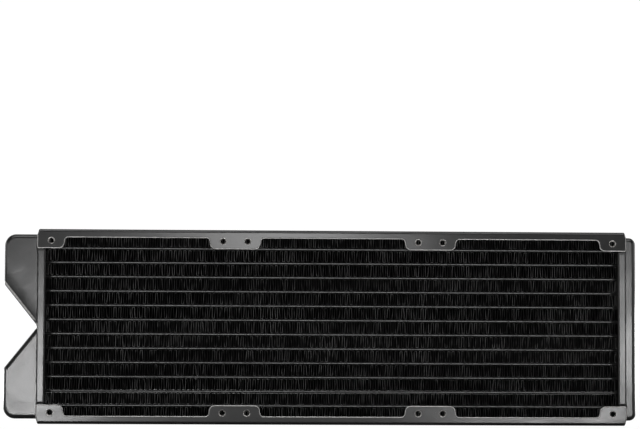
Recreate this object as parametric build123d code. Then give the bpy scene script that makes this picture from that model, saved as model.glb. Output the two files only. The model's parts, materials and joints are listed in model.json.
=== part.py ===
from build123d import *
import math
import os

# Liquid cooling radiator, three-fan size, brazed flat-tube and corrugated-fin core.
#
# Frame: the origin is the centre of the middle fan bay, on the front fan-mounting face.
# +X runs along the length towards the return tank, +Y from the front face to the back
# (port) face, +Z up across the width. The object stands on the web of its lower rail.
#
# Construction: twelve flat tubes and thirteen corrugated fin strips form the core. The
# tube ends pass through collared slots in two header trays. A notched port tank and a
# plain return tank sit inside the trays' rims. Two C-section rails with ears carry the
# tapped fan holes and lie over the trays' rims, front and back. All sizes are in mm.

# ---- overall -------------------------------------------------------------------------
THICKNESS = 28.0          # front lip face to back lip face, Y
WIDTH = 119.0             # rail web to rail web, Z
FAN_HOLE_SPACING = 105.0  # standard for a 120 mm fan
FAN_BAY_PITCH = 120.0
BAYS = 3

MID_Y = THICKNESS / 2
HALF_WIDTH = WIDTH / 2
HALF_HOLE = FAN_HOLE_SPACING / 2
BAY_X = [(bay - (BAYS - 1) / 2) * FAN_BAY_PITCH for bay in range(BAYS)]
HOLE_X = [centre + offset for centre in BAY_X for offset in (-HALF_HOLE, HALF_HOLE)]

# ---- modelling -----------------------------------------------------------------------
OVERCUT = 1.0             # a cutter runs this far past what it cuts
SUNK = 0.5                # share of a sheet's thickness that a fused collar starts in
TOLERANCE = 1e-4          # for finding edges by place or radius

# ---- rails ---------------------------------------------------------------------------
RAIL_HALF_LENGTH = 181.1
RAIL_SHEET = 1.0
RAIL_BEND = 1.8           # outer bend radius
LIP_WIDTH = 5.1
EAR_WIDTH = 11.8          # from the web's outer face to the ear's edge
EAR_REACH = 8.1           # ear edge beyond the hole centre, along X
EAR_CORNER = 3.5
EAR_END_CORNER = 1.0      # ear corners at the rail's two ends
EAR_FLARE = 0.55          # each side of an ear leans out by this much at its root
EAR_ROOT = 2.0
LIP_EDGE = 0.7            # rolled edge round the lips and ears, on the outer faces
END_CUT_X, END_CUT_Z = 1.2, 4.0  # slanted relief at the end of the bend
END_CUT_OVER = 0.5        # the relief's cutter stands this far above the web
TAP_R = 1.65              # M4 tapping size
TAP_ENTRY = 0.5           # rolled entry radius
COLLAR_R = 2.5            # extruded collar behind each tapped hole
COLLAR_DEPTH = 1.5

# ---- core ----------------------------------------------------------------------------
TUBES = 12
TUBE_PITCH = 8.74
TUBE_THICK = 1.9
TUBE_DEPTH = 20.0
TUBE_WALL = 0.25
TUBE_HALF_LENGTH = 178.2
FIN_SHEET = 0.12
FIN_WAVE = 2.95           # one full wave, about 17 fins to the inch
FIN_HALF_WAVES = 236
FIN_CREST = 1.0           # flat of each crest
FIN_GAP = 0.02            # braze gap between crest and tube
SIDE_SHEET = 0.8
SIDE_RAIL_GAP = 0.05      # side plate to rail web
SIDE_HEADER_GAP = 0.1     # side plate to header tray

TUBE_Y0 = MID_Y - TUBE_DEPTH / 2
TUBE_Y1 = MID_Y + TUBE_DEPTH / 2
TUBE_Z = [(i - (TUBES - 1) / 2) * TUBE_PITCH for i in range(TUBES)]
FIN_SPACE = TUBE_PITCH - TUBE_THICK  # clear height between tubes
FIN_Z = [(i - TUBES / 2) * TUBE_PITCH for i in range(TUBES + 1)]

# ---- tanks ---------------------------------------------------------------------------
TANK_DEPTH = 24.0
TANK_HALF_WIDTH = 56.3
TANK_WALL = 1.0
TANK_EDGE = 2.5           # drawn radius round the front and back faces
TANK_MOUTH_X = 176.75
PORT_TANK_X = 200.9
NOTCH_HALF = 25.6         # half width of the notch at the tank's end
NOTCH_APEX_X = 181.5
NOTCH_APEX_HALF = 1.3
NOTCH_APEX_CORNER = 0.8
PORT_TANK_CORNER = 7.0
NOTCH_CORNER = 3.0
RETURN_TANK_X = 187.1
RETURN_TANK_CORNER = 4.2
DIVIDER_THICK = 1.0
DIVIDER_GAP = 0.05

TANK_Y0 = MID_Y - TANK_DEPTH / 2
TANK_Y1 = MID_Y + TANK_DEPTH / 2

# ---- header trays --------------------------------------------------------------------
HEADER_X = 175.7          # core side of the tray's floor
HEADER_FLOOR = 1.0
HEADER_RIM_X = 180.3
HEADER_RIM = 0.9
HEADER_PAD = 0.77         # the rim stands out this far between the rails' ears
HEADER_PAD_Z = 46.4       # where the raised length starts to dip under the ears
HEADER_PAD_RUN = 0.9
HEADER_PAD_TIP = 1.5      # outer radius at the top of the dip
HEADER_PAD_ROOT = 0.4     # outer radius at the foot of the dip
HEADER_BEND = 1.2
HEADER_EDGE = 0.25        # deburred edge of the rim's mouth
HEADER_CORNER = 3.5
FIT = 0.08                # braze gap between tray and tank
SLOT_GAP = 0.05
COLLAR_WALL = 0.4
SLOT_COLLAR = 1.2

RIM_IN_Y0 = TANK_Y0 - FIT
RIM_IN_Y1 = TANK_Y1 + FIT
RIM_IN_Z = TANK_HALF_WIDTH + FIT

# ---- ports ---------------------------------------------------------------------------
PORT_X = -190.0
PORT_Z = 41.0
PORT_MINOR_R = 5.72       # G1/4 minor diameter 11.445
PORT_ENTRY = 0.9
PORT_FLANGE_R = 8.6
PORT_FLANGE_EDGE = 0.5
PORT_FLANGE_GAP = 0.02    # flange to the tank's back wall
PORT_SPIGOT_R = 7.6
SPIGOT_GAP = 0.05         # radial gap round the spigot
PORT_INNER_Y = 20.0
PORT_CUT_IN, PORT_CUT_OUT = 4.0, 2.0  # the hole's cutter, either side of the back face
SPIGOT_OVERLAP = 1.0      # the spigot runs this far past the wall, into the flange


# ---- shapes --------------------------------------------------------------------------
def rounded_corner(corner, before, after, radius):
    """Start, middle and end (x, z) of the arc that rounds a corner between neighbours."""
    x, z = corner
    back = (before[0] - x, before[1] - z)
    ahead = (after[0] - x, after[1] - z)
    back_length, ahead_length = math.hypot(*back), math.hypot(*ahead)
    back = (back[0] / back_length, back[1] / back_length)
    ahead = (ahead[0] / ahead_length, ahead[1] / ahead_length)
    cosine = back[0] * ahead[0] + back[1] * ahead[1]
    half_angle = math.acos(max(-1, min(1, cosine))) / 2
    run = radius / math.tan(half_angle)
    start = (x + back[0] * run, z + back[1] * run)
    end = (x + ahead[0] * run, z + ahead[1] * run)
    inward = (back[0] + ahead[0], back[1] + ahead[1])
    inward_length = math.hypot(*inward)
    away = radius / math.sin(half_angle) - radius
    middle = (
        x + inward[0] / inward_length * away,
        z + inward[1] / inward_length * away,
    )
    return start, middle, end


def rounded_face(points, y):
    """A face in the plane at y from (x, z, corner radius) points, its corners rounded."""
    corners = []
    for i, (x, z, radius) in enumerate(points):
        if radius <= 0:
            corners.append(((x, z), None, (x, z)))
            continue
        following = points[(i + 1) % len(points)]
        corners.append(rounded_corner((x, z), points[i - 1][:2], following[:2], radius))
    edges = []
    for i, (start, middle, end) in enumerate(corners):
        if middle is not None:
            edges.append(ThreePointArc(*[(x, y, z) for x, z in (start, middle, end)]))
        next_start = corners[(i + 1) % len(corners)][0]
        if math.hypot(next_start[0] - end[0], next_start[1] - end[1]) > 1e-6:
            edges.append(Line((end[0], y, end[1]), (next_start[0], y, next_start[1])))
    return Face(Wire(edges))


def prism(points, y0, y1):
    return Solid.extrude(rounded_face(points, y0), Vector(0, y1 - y0, 0))


def prism_along_x(points, x0, x1):
    """A prism from x0 to x1 of a section given as (y, z, corner radius) points."""
    # the face is drawn in XZ as (y, z), then turned so that its x becomes y
    section = rounded_face(points, 0).moved(Location((x0, 0, 0), (0, 0, 90)))
    return Solid.extrude(section, Vector(x1 - x0, 0, 0))


def along_y(x, z, radius, y0, y1):
    """A cylinder along Y."""
    return Solid.make_cylinder(radius, y1 - y0, Plane((x, y0, z), z_dir=(0, 1, 0)))


def slot_bar(x0, x1, z, margin):
    """A bar along X with a flat tube's round-nosed section, grown all round by margin."""
    y0, y1 = TUBE_Y0 - margin, TUBE_Y1 + margin
    r = (TUBE_THICK + 2 * margin) / 2
    section = Face(
        Wire(
            [
                Line((x0, y0 + r, z + r), (x0, y1 - r, z + r)),
                ThreePointArc((x0, y1 - r, z + r), (x0, y1, z), (x0, y1 - r, z - r)),
                Line((x0, y1 - r, z - r), (x0, y0 + r, z - r)),
                ThreePointArc((x0, y0 + r, z - r), (x0, y0, z), (x0, y0 + r, z + r)),
            ]
        )
    )
    return Solid.extrude(section, Vector(x1 - x0, 0, 0))


def box(x0, x1, y0, y1, z0, z1):
    return Solid.make_box(x1 - x0, y1 - y0, z1 - z0, Plane((x0, y0, z0)))


def lies_at(edge, axis, place, tolerance=TOLERANCE):
    """Whether the whole edge lies at one place along the axis "X", "Y" or "Z"."""
    bounds = edge.bounding_box()
    low, high = getattr(bounds.min, axis), getattr(bounds.max, axis)
    return abs(low - place) < tolerance and abs(high - place) < tolerance


def circles_at(solid, radius, faces_y):
    """Circular edges of the given radius centred on any of the planes at faces_y."""
    return [
        e
        for e in solid.edges().filter_by(GeomType.CIRCLE)
        if abs(e.radius - radius) < TOLERANCE
        and any(abs(e.arc_center.Y - y) < TOLERANCE for y in faces_y)
    ]


# ---- rails ---------------------------------------------------------------------------
BEND_Z = HALF_WIDTH - RAIL_BEND  # where a lip's flat meets the bend


def make_channel():
    """The upper rail's web and its two bends, a C section swept along X."""
    front_in, back_in = RAIL_SHEET, THICKNESS - RAIL_SHEET
    front_web, back_web = RAIL_BEND, THICKNESS - RAIL_BEND  # ends of the flat web
    web_in = HALF_WIDTH - RAIL_SHEET
    outer = RAIL_BEND * math.sqrt(0.5)
    inner = (RAIL_BEND - RAIL_SHEET) * math.sqrt(0.5)

    def line(*points):
        return Line(*[(-RAIL_HALF_LENGTH, y, z) for y, z in points])

    def arc(*points):
        return ThreePointArc(*[(-RAIL_HALF_LENGTH, y, z) for y, z in points])

    section = Wire(
        [
            line((0, BEND_Z), (front_in, BEND_Z)),
            arc((front_in, BEND_Z), (front_web - inner, BEND_Z + inner), (front_web, web_in)),
            line((front_web, web_in), (back_web, web_in)),
            arc((back_web, web_in), (back_web + inner, BEND_Z + inner), (back_in, BEND_Z)),
            line((back_in, BEND_Z), (THICKNESS, BEND_Z)),
            arc(
                (THICKNESS, BEND_Z),
                (back_web + outer, BEND_Z + outer),
                (back_web, HALF_WIDTH),
            ),
            line((back_web, HALF_WIDTH), (front_web, HALF_WIDTH)),
            arc((front_web, HALF_WIDTH), (front_web - outer, BEND_Z + outer), (0, BEND_Z)),
        ]
    )
    return Solid.extrude(Face(section), Vector(2 * RAIL_HALF_LENGTH, 0, 0))


def lip_outline():
    """(x, z, corner radius) points of a lip. Neighbouring bays share one wide ear."""
    lip_z = HALF_WIDTH - LIP_WIDTH
    ear_z = HALF_WIDTH - EAR_WIDTH
    outline = [
        (-RAIL_HALF_LENGTH, BEND_Z, 0),
        (-RAIL_HALF_LENGTH, ear_z, EAR_END_CORNER),
    ]
    for centre in BAY_X:
        left = centre - HALF_HOLE + EAR_REACH
        right = centre + HALF_HOLE - EAR_REACH
        outline += [
            (left - EAR_FLARE, ear_z, EAR_CORNER),
            (left + EAR_FLARE, lip_z, EAR_ROOT),
            (right - EAR_FLARE, lip_z, EAR_ROOT),
            (right + EAR_FLARE, ear_z, EAR_CORNER),
        ]
    outline += [
        (RAIL_HALF_LENGTH, ear_z, EAR_END_CORNER),
        (RAIL_HALF_LENGTH, BEND_Z, 0),
    ]
    return outline


def is_lip_edge(edge):
    """Whether an edge belongs to the outline of a lip's outer face."""
    if not any(lies_at(edge, "Y", y) for y in (0, THICKNESS)):
        return False
    if lies_at(edge, "Z", BEND_Z, 1e-3):
        return False  # where the lip's flat meets the bend
    is_entry = (
        edge.geom_type == GeomType.CIRCLE and abs(edge.radius - TAP_R - TAP_ENTRY) < 0.05
    )
    return not is_entry


def make_rail():
    """The upper rail; the lower one is its mirror image."""
    outline = lip_outline()
    lips = [
        prism(outline, 0, RAIL_SHEET),
        prism(outline, THICKNESS - RAIL_SHEET, THICKNESS),
    ]
    collar_end = RAIL_SHEET + COLLAR_DEPTH
    sunk = RAIL_SHEET * SUNK
    collars = []
    bores = []
    for x in HOLE_X:
        collars += [
            along_y(x, HALF_HOLE, COLLAR_R, sunk, collar_end),
            along_y(x, HALF_HOLE, COLLAR_R, THICKNESS - collar_end, THICKNESS - sunk),
        ]
        bores += [
            along_y(x, HALF_HOLE, TAP_R, -OVERCUT, collar_end + OVERCUT),
            along_y(
                x, HALF_HOLE, TAP_R, THICKNESS - collar_end - OVERCUT, THICKNESS + OVERCUT
            ),
        ]
    rail = make_channel().fuse(*lips, *collars).cut(*bores)

    relief = [
        (RAIL_HALF_LENGTH - END_CUT_X, HALF_WIDTH + END_CUT_OVER, 0),
        (RAIL_HALF_LENGTH - END_CUT_X, HALF_WIDTH, 0),
        (RAIL_HALF_LENGTH, HALF_WIDTH - END_CUT_Z, 0),
        (RAIL_HALF_LENGTH + OVERCUT, HALF_WIDTH - END_CUT_Z, 0),
        (RAIL_HALF_LENGTH + OVERCUT, HALF_WIDTH + END_CUT_OVER, 0),
    ]
    mirrored = [(-x, z, r) for x, z, r in reversed(relief)]
    rail = rail.cut(
        *[prism(points, -OVERCUT, THICKNESS + OVERCUT) for points in (relief, mirrored)]
    ).solids()[0]
    rail = rail.fillet(TAP_ENTRY, circles_at(rail, TAP_R, (0, THICKNESS)))
    return rail.fillet(LIP_EDGE, [e for e in rail.edges() if is_lip_edge(e)])


# ---- core ----------------------------------------------------------------------------
def make_tube(z):
    outer = slot_bar(-TUBE_HALF_LENGTH, TUBE_HALF_LENGTH, z, 0)
    inner_end = TUBE_HALF_LENGTH + OVERCUT
    return outer.cut(slot_bar(-inner_end, inner_end, z, -TUBE_WALL))


def make_fin(z):
    """One corrugated strip: a folded sheet with flat crests against the tubes."""
    half_wave = FIN_WAVE / 2
    reach = FIN_SPACE / 2 - FIN_GAP - FIN_SHEET / 2
    start_x = -FIN_HALF_WAVES * half_wave / 2
    midline = []
    for i in range(FIN_HALF_WAVES + 1):
        x = start_x + i * half_wave
        crest_z = z + reach if i % 2 == 0 else z - reach
        midline += [(x - FIN_CREST / 2, crest_z), (x + FIN_CREST / 2, crest_z)]

    normals = []  # one for each straight length of the midline
    for (xa, za), (xb, zb) in zip(midline, midline[1:]):
        length = math.hypot(xb - xa, zb - za)
        normals.append((-(zb - za) / length, (xb - xa) / length))

    # both faces of the sheet, mitred at each fold
    upper, lower = [], []
    for i, (x, fold_z) in enumerate(midline):
        meeting = normals[max(i - 1, 0) : i + 1]
        miter_x = sum(n[0] for n in meeting)
        miter_z = sum(n[1] for n in meeting)
        size = math.hypot(miter_x, miter_z)
        miter_x, miter_z = miter_x / size, miter_z / size
        stretch = FIN_SHEET / 2 / (miter_x * meeting[0][0] + miter_z * meeting[0][1])
        upper.append((x + miter_x * stretch, fold_z + miter_z * stretch))
        lower.append((x - miter_x * stretch, fold_z - miter_z * stretch))
    loop = [(x, TUBE_Y0, sheet_z) for x, sheet_z in upper + lower[::-1]]
    return Solid.extrude(Face(Wire.make_polygon(loop, close=True)), Vector(0, TUBE_DEPTH, 0))


def make_side_plate():
    """A shallow channel between the top fin strip and the upper rail's web."""
    floor_z = FIN_Z[-1] + FIN_SPACE / 2 + FIN_GAP
    top = HALF_WIDTH - RAIL_SHEET - SIDE_RAIL_GAP
    end = HEADER_X - SIDE_HEADER_GAP
    hollow = box(
        -end - OVERCUT,
        end + OVERCUT,
        TUBE_Y0 + SIDE_SHEET,
        TUBE_Y1 - SIDE_SHEET,
        floor_z + SIDE_SHEET,
        top + OVERCUT,
    )
    return box(-end, end, TUBE_Y0, TUBE_Y1, floor_z, top).cut(hollow).solids()[0]


# ---- header trays --------------------------------------------------------------------
def rim_outline(inset):
    """The tray's (y, z, radius) section: an oblong with a raised length front and back."""
    y0, y1 = RIM_IN_Y0 - HEADER_RIM + inset, RIM_IN_Y1 + HEADER_RIM - inset
    z1 = RIM_IN_Z + HEADER_RIM - inset
    corner = HEADER_CORNER - inset
    # the dip is a straight slope; an inset moves its ends along Z to keep the sheet even
    slip = inset * math.tan(math.atan2(HEADER_PAD, HEADER_PAD_RUN) / 2)
    high_z, low_z = HEADER_PAD_Z - slip, HEADER_PAD_Z + HEADER_PAD_RUN - slip
    tip, root = HEADER_PAD_TIP - inset, HEADER_PAD_ROOT + inset
    return [
        (y0, -z1, corner),
        (y1, -z1, corner),
        (y1, -low_z, root),
        (y1 + HEADER_PAD, -high_z, tip),
        (y1 + HEADER_PAD, high_z, tip),
        (y1, low_z, root),
        (y1, z1, corner),
        (y0, z1, corner),
        (y0, low_z, root),
        (y0 - HEADER_PAD, high_z, tip),
        (y0 - HEADER_PAD, -high_z, tip),
        (y0, -low_z, root),
    ]


def is_mouth_edge(edge):
    """Whether an edge is on the rim's mouth and reaches outside its inner faces in Y."""
    bounds = edge.bounding_box()
    return lies_at(edge, "X", HEADER_RIM_X) and (
        bounds.min.Y < RIM_IN_Y0 - HEADER_PAD - 1e-3
        or bounds.max.Y > RIM_IN_Y1 + HEADER_PAD + 1e-3
    )


def make_header():
    """The return side's drawn tray with its collared slots; the port side's mirrors it."""
    outer = prism_along_x(rim_outline(0), HEADER_X, HEADER_RIM_X)
    floor_edges = [e for e in outer.edges() if abs(e.center().X - HEADER_X) < TOLERANCE]
    outer = outer.fillet(HEADER_BEND, floor_edges)
    floor_top = HEADER_X + HEADER_FLOOR
    tray = outer.cut(
        prism_along_x(rim_outline(HEADER_RIM), floor_top, HEADER_RIM_X + OVERCUT)
    )
    collar_start = HEADER_X + HEADER_FLOOR * SUNK
    collar_end = floor_top + SLOT_COLLAR
    collars = [
        slot_bar(collar_start, collar_end, z, SLOT_GAP + COLLAR_WALL) for z in TUBE_Z
    ]
    slots = [
        slot_bar(HEADER_X - OVERCUT, collar_end + OVERCUT, z, SLOT_GAP) for z in TUBE_Z
    ]
    tray = tray.fuse(*collars).cut(*slots).solids()[0]
    return tray.fillet(HEADER_EDGE, [e for e in tray.edges() if is_mouth_edge(e)])


# ---- tanks ---------------------------------------------------------------------------
def drawn_prism(points, y0, y1, mouth_x, radius):
    """A prism with its front and back edges rounded, except those at the mouth."""
    solid = prism(points, y0, y1)
    edges = [
        e
        for y in (y0, y1)
        for e in solid.edges()
        if lies_at(e, "Y", y) and not lies_at(e, "X", mouth_x)
    ]
    return solid.fillet(radius, edges)


def make_tank_shell(outline, side):
    """An open shell from outline(inset, mouth x). Side is -1 at the ports, 1 opposite."""
    mouth_x = side * TANK_MOUTH_X
    outer = drawn_prism(outline(0, mouth_x), TANK_Y0, TANK_Y1, mouth_x, TANK_EDGE)
    cut_x = side * (TANK_MOUTH_X - OVERCUT)
    inner = drawn_prism(
        outline(TANK_WALL, cut_x),
        TANK_Y0 + TANK_WALL,
        TANK_Y1 - TANK_WALL,
        cut_x,
        TANK_EDGE - TANK_WALL,
    )
    return outer.cut(inner)


def port_outline(inset, mouth_x):
    """(x, z, corner radius) points of the notched outline, moved inwards by inset."""
    notch_depth = PORT_TANK_X - NOTCH_APEX_X
    notch_rise = NOTCH_HALF - NOTCH_APEX_HALF
    # a move of inset along the slanted wall's normal shifts it this far along Z
    shift = inset * math.hypot(notch_depth, notch_rise) / notch_depth

    def slant_z(x):
        return NOTCH_HALF - (PORT_TANK_X + x) / notch_depth * notch_rise + shift

    end_x = -(PORT_TANK_X - inset)
    apex_x = -(NOTCH_APEX_X - inset)
    half_width = TANK_HALF_WIDTH - inset
    outer_r, notch_r = PORT_TANK_CORNER - inset, NOTCH_CORNER - inset
    apex_r = NOTCH_APEX_CORNER + inset
    return [
        (mouth_x, half_width, 0),
        (end_x, half_width, outer_r),
        (end_x, slant_z(end_x), notch_r),
        (apex_x, slant_z(apex_x), apex_r),
        (apex_x, -slant_z(apex_x), apex_r),
        (end_x, -slant_z(end_x), notch_r),
        (end_x, -half_width, outer_r),
        (mouth_x, -half_width, 0),
    ]


def return_outline(inset, mouth_x):
    """(x, z, corner radius) points of the plain outline, moved inwards by inset."""
    end_x, half_width = RETURN_TANK_X - inset, TANK_HALF_WIDTH - inset
    corner = RETURN_TANK_CORNER - inset
    return [
        (mouth_x, -half_width, 0),
        (end_x, -half_width, corner),
        (end_x, half_width, corner),
        (mouth_x, half_width, 0),
    ]


def make_port_tank():
    tank = make_tank_shell(port_outline, -1)
    hole_r = PORT_SPIGOT_R + SPIGOT_GAP
    for z in (PORT_Z, -PORT_Z):
        tank = tank.cut(
            along_y(PORT_X, z, hole_r, TANK_Y1 - PORT_CUT_IN, TANK_Y1 + PORT_CUT_OUT)
        )
    return tank.solids()[0]


def make_return_tank():
    return make_tank_shell(return_outline, 1).solids()[0]


def make_divider():
    """Closes the port tank's mouth between the notch's apex and the tray's floor."""
    apex_x = -(NOTCH_APEX_X - TANK_WALL) + DIVIDER_GAP
    plate = box(
        apex_x,
        -(HEADER_X + HEADER_FLOOR) - DIVIDER_GAP,
        TANK_Y0 + TANK_WALL + DIVIDER_GAP,
        TANK_Y1 - TANK_WALL - DIVIDER_GAP,
        -DIVIDER_THICK / 2,
        DIVIDER_THICK / 2,
    )
    corners = [
        e for e in plate.edges().filter_by(Axis.Z) if abs(e.center().X - apex_x) < TOLERANCE
    ]
    return plate.fillet(TANK_EDGE - TANK_WALL, corners)


def make_port_boss(z):
    """A soldered G1/4 boss: a flange on the tank's back wall and a spigot through it."""
    flange = along_y(PORT_X, z, PORT_FLANGE_R, TANK_Y1 + PORT_FLANGE_GAP, THICKNESS)
    spigot = along_y(PORT_X, z, PORT_SPIGOT_R, PORT_INNER_Y, TANK_Y1 + SPIGOT_OVERLAP)
    bore = along_y(PORT_X, z, PORT_MINOR_R, PORT_INNER_Y - OVERCUT, THICKNESS + OVERCUT)
    boss = flange.fuse(spigot).cut(bore).solids()[0]
    boss = boss.chamfer(PORT_ENTRY, None, circles_at(boss, PORT_MINOR_R, [THICKNESS]))
    return boss.fillet(PORT_FLANGE_EDGE, circles_at(boss, PORT_FLANGE_R, [THICKNESS]))


# ---- parts ---------------------------------------------------------------------------
rail_top = make_rail()
header_return = make_header()
side_plate_top = make_side_plate()
parts = {
    "rail_top": rail_top,
    "rail_bottom": rail_top.mirror(Plane.XY),
    "header_tray_port_side": header_return.mirror(Plane.YZ),
    "header_tray_return_side": header_return,
    "port_tank": make_port_tank(),
    "port_tank_divider": make_divider(),
    "port_boss_upper": make_port_boss(PORT_Z),
    "port_boss_lower": make_port_boss(-PORT_Z),
    "return_tank": make_return_tank(),
    "core_side_plate_top": side_plate_top,
    "core_side_plate_bottom": side_plate_top.mirror(Plane.XY),
}
# tubes and fin strips are numbered from the top down
for number, z in enumerate(reversed(TUBE_Z), start=1):
    parts[f"flat_tube_{number:02d}"] = make_tube(z)
for number, z in enumerate(reversed(FIN_Z), start=1):
    parts[f"fin_strip_{number:02d}"] = make_fin(z)

os.makedirs("parts", exist_ok=True)
for name, shape in parts.items():
    export_step(shape.solids()[0], f"parts/{name}.step")
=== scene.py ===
import json
import math

import bpy
import numpy as np
from mathutils import Matrix, Vector

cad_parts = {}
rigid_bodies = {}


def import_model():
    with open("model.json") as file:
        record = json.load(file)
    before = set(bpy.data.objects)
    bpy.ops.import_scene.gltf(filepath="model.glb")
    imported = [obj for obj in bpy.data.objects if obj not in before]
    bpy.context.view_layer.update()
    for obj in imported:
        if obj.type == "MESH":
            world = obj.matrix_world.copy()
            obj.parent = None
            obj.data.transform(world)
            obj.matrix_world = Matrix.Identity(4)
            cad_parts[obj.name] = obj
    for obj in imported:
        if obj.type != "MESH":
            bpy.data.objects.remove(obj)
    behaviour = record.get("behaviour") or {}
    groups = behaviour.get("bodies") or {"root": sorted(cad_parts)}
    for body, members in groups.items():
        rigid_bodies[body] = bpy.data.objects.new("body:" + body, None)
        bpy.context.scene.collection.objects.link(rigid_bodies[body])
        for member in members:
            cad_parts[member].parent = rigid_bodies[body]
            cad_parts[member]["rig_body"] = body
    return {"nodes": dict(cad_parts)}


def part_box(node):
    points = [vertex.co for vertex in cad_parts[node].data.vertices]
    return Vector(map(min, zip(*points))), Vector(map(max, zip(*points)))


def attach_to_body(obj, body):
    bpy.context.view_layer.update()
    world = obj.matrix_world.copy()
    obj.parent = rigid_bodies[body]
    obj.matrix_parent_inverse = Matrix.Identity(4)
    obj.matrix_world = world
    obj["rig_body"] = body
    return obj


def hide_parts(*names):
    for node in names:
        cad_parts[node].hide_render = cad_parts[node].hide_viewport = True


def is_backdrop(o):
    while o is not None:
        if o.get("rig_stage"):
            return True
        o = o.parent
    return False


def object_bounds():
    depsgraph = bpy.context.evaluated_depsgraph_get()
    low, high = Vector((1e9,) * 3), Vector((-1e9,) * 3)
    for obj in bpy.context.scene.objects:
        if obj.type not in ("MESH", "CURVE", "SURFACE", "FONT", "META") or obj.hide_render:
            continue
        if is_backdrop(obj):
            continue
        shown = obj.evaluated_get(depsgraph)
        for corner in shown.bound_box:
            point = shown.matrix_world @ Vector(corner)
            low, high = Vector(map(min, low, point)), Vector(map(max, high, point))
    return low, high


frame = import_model()
CAD_LOW, CAD_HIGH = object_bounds()
nodes = frame["nodes"]
MM = 0.001

# fan screw holes in the rails (mm): four per fan, on both faces
FAN_SPACING = 120.0
HOLE_OFFSET = 52.5  # from the fan's centre, in x and in z
HOLE_XS = [
    fan * FAN_SPACING + side * HOLE_OFFSET
    for fan in (-1, 0, 1)
    for side in (-1, 1)
]


# ---------------------------------------------------------------------------------------
# node helpers
# ---------------------------------------------------------------------------------------
class Tree:
    """A new material, with short names for building its node tree."""

    def __init__(self, name):
        self.material = bpy.data.materials.new(name)
        self.material.use_nodes = True
        self.tree = self.material.node_tree
        self.tree.nodes.clear()
        self.output = self.node("OutputMaterial")

    def node(self, kind):
        return self.tree.nodes.new("ShaderNode" + kind)

    def put(self, socket, value):
        """Link a socket, or set a plain value."""
        if isinstance(value, bpy.types.NodeSocket):
            self.tree.links.new(value, socket)
        else:
            socket.default_value = value

    def shader(self, kind, **inputs):
        """A shader node; underscores in input names stand for spaces."""
        node = self.node(kind)
        for key, value in inputs.items():
            self.put(node.inputs[key.replace("_", " ")], value)
        return node.outputs[0]

    def finish(self, surface):
        self.put(self.output.inputs["Surface"], surface)
        return self.material

    def math(self, operation, *values, clamp=False):
        node = self.node("Math")
        node.operation = operation
        node.use_clamp = clamp
        for socket, value in zip(node.inputs, values):
            self.put(socket, value)
        return node.outputs[0]

    def chain(self, operation, values, clamp):
        """Joins the values two at a time; only the last step is clamped."""
        result = values[0]
        for i, value in enumerate(values[1:], 2):
            result = self.math(operation, result, value, clamp=clamp and i == len(values))
        return result

    def times(self, *factors, clamp=False):
        return self.chain("MULTIPLY", factors, clamp)

    def total(self, *terms, base=None, clamp=False):
        if base is not None:
            terms = (base, *terms)
        return self.chain("ADD", terms, clamp)

    def scale(self, value, by):
        return self.math("MULTIPLY", value, by)

    def minus(self, value, less):
        return self.math("SUBTRACT", value, less)

    def invert(self, share):
        return self.minus(1.0, share)

    def swing(self, noise, size):
        """Noise centred on zero and scaled."""
        return self.scale(self.minus(noise, 0.5), by=size)

    def ramp(self, value, start, end, at_start=0.0, at_end=1.0, smooth=False):
        node = self.node("MapRange")
        node.interpolation_type = "SMOOTHSTEP" if smooth else "LINEAR"
        for socket, setting in zip(node.inputs, (value, start, end, at_start, at_end)):
            self.put(socket, setting)
        return node.outputs[0]

    def blend(self, data_type, sockets, values):
        node = self.node("Mix")
        node.data_type = data_type
        for i, value in zip(sockets, values):
            self.put(node.inputs[i], value)
        return node

    def mix(self, under, over, share):
        """Lays one colour over another."""
        return self.blend("RGBA", (0, 6, 7), (share, under, over)).outputs[2]

    def mix_values(self, under, over, share):
        return self.blend("FLOAT", (0, 2, 3), (share, under, over)).outputs[0]

    def mottled(self, mottle, dark, light):
        share = self.ramp(mottle, start=0.3, end=0.7)
        return self.mix(grey(dark), over=grey(light), share=share)

    def coords(self, stretch=(1, 1, 1), shift=(0, 0, 0)):
        texture = self.node("TexCoord")
        mapping = self.node("Mapping")
        mapping.inputs["Scale"].default_value = stretch
        mapping.inputs["Location"].default_value = shift
        self.put(mapping.inputs["Vector"], texture.outputs["Object"])
        return mapping.outputs[0]

    def split(self, vector):
        node = self.node("SeparateXYZ")
        self.put(node.inputs[0], vector)
        return tuple(node.outputs)

    def normal(self):
        return self.node("NewGeometry").outputs["Normal"]

    def noise(self, per_mm, detail=2.0, rough=0.5, where=None):
        """Noise with about one feature per 1 / per_mm millimetres."""
        node = self.node("TexNoise")
        node.inputs["Scale"].default_value = per_mm * 1000
        node.inputs["Detail"].default_value = detail
        node.inputs["Roughness"].default_value = rough
        self.put(node.inputs["Vector"], where or self.coords())
        return node.outputs["Fac"]

    def bump(self, height, distance, over=None):
        node = self.node("Bump")
        node.inputs["Strength"].default_value = 1.0
        node.inputs["Distance"].default_value = distance
        self.put(node.inputs["Height"], height)
        if over is not None:
            self.put(node.inputs["Normal"], over)
        return node.outputs[0]

    def edge(self, radius):
        """0 on flats, rising to 1 on a convex or concave edge within radius."""
        bevel = self.node("Bevel")
        bevel.samples = 4
        bevel.inputs["Radius"].default_value = radius
        dot = self.node("VectorMath")
        dot.operation = "DOT_PRODUCT"
        self.put(dot.inputs[0], bevel.outputs[0])
        self.put(dot.inputs[1], self.normal())
        return self.ramp(dot.outputs[1], start=0.995, end=0.80)


def grey(level, tint=(1.0, 1.0, 1.0)):
    return (level * tint[0], level * tint[1], level * tint[2], 1.0)


# ---------------------------------------------------------------------------------------
# black paint (metres)
# ---------------------------------------------------------------------------------------
RAIL_MID_Y = 0.014
# the port tank's notch has a slanted edge: a point on it and its normal, as (x, z)
SLANT_POINT = (-0.2009, 0.0256)
SLANT_NORMAL = (0.781, 0.624)


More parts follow.
